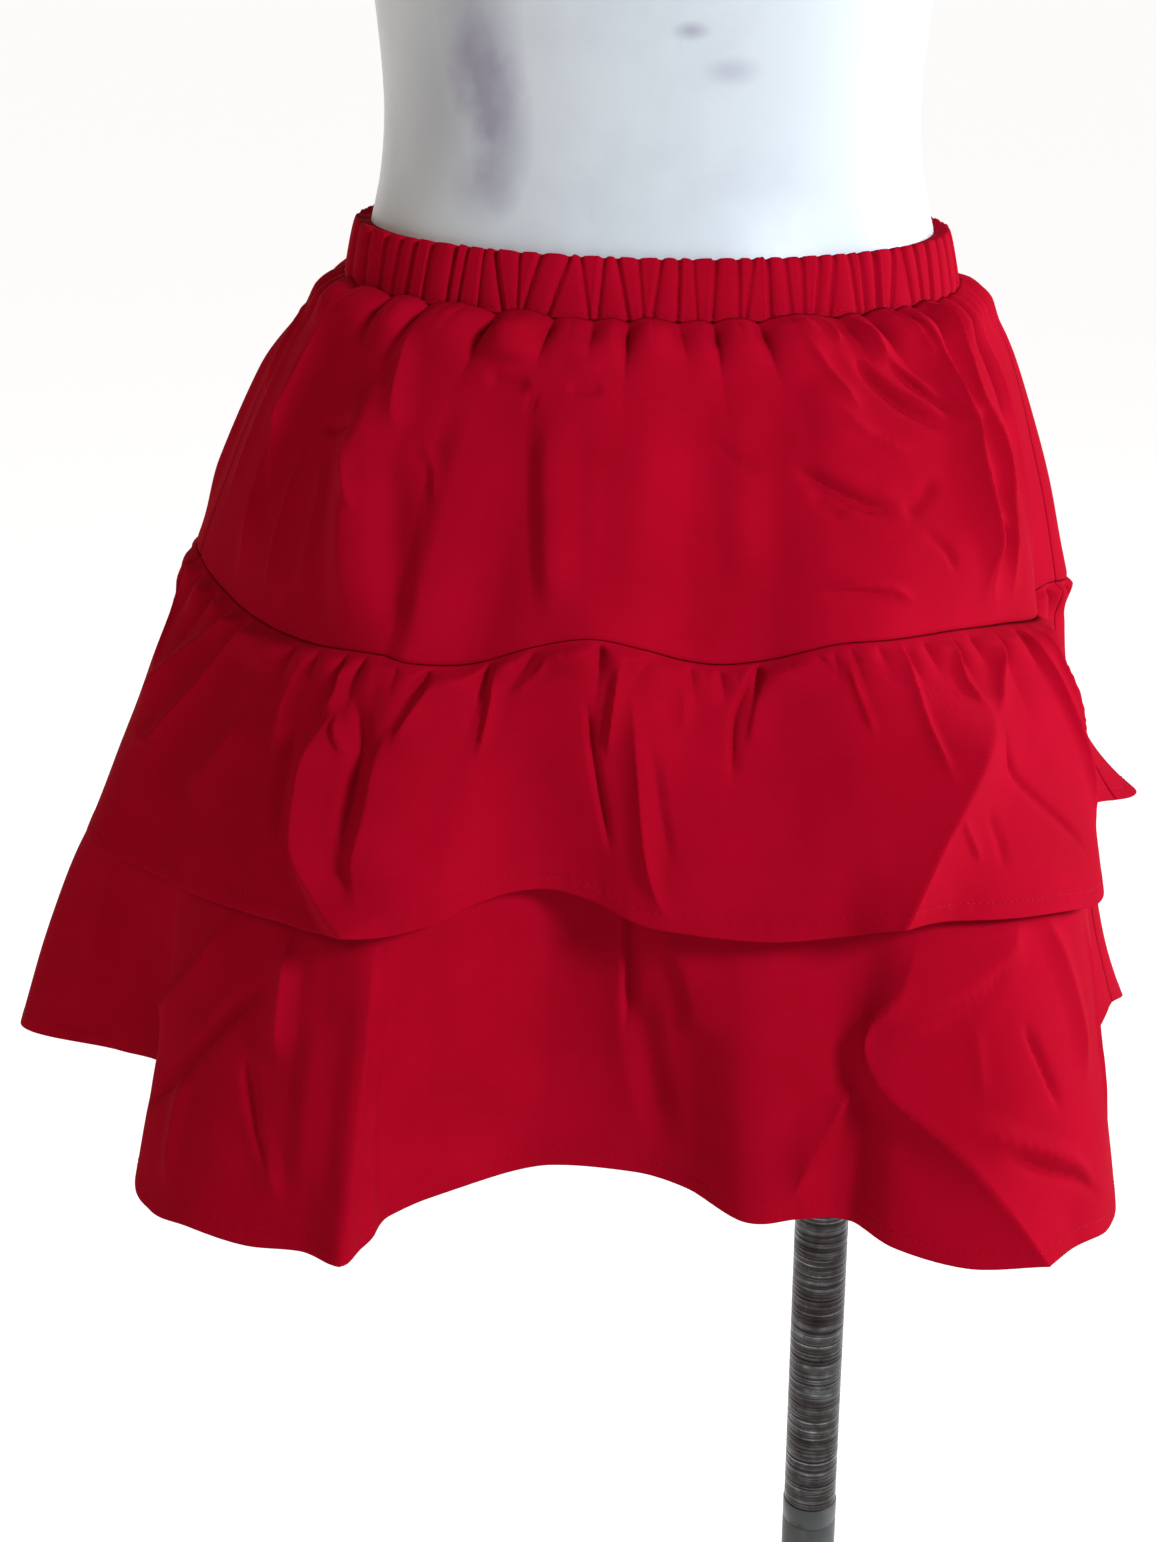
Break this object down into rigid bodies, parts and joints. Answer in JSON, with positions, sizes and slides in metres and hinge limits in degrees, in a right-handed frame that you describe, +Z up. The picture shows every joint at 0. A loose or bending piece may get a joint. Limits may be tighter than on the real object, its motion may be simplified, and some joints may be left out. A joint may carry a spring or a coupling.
{
  "type": "skort on a dress form",
  "caption": "Pull-on skort with a gathered elastic waistband and tiered flounces over plain inner shorts, worn by a limbless dress form on a pole stand.",
  "frame": {"origin": "centre of the base plate's underside, straight below the dress form's axis", "axes": "+Z up, the front of the garment faces -Y, the viewer's right is +X"},
  "size_m": [0.5719, 0.4682, 1.501],
  "materials": {
    "red_cloth": "plain woven cloth with a soft sheen",
    "white_plastic": "smooth satin, slightly marked",
    "bright_steel": "bright, ringed round the pole",
    "black_plastic": "glossy"
  },
  "bodies": {
    "root": {"waistband": "red_cloth", "upper_front": "red_cloth", "upper_back": "red_cloth", "middle_ruffle_front": "red_cloth", "middle_ruffle_back": "red_cloth", "bottom_ruffle_front": "red_cloth", "bottom_ruffle_back": "red_cloth", "shorts_hip": "red_cloth", "shorts_leg_left": "red_cloth", "shorts_leg_right": "red_cloth", "dress_form": "white_plastic", "form_socket": "black_plastic", "pole_upper": "bright_steel", "pole_lower": "black_plastic", "base_collar": "black_plastic", "base_plate": "bright_steel"}
  },
  "joints": []
}
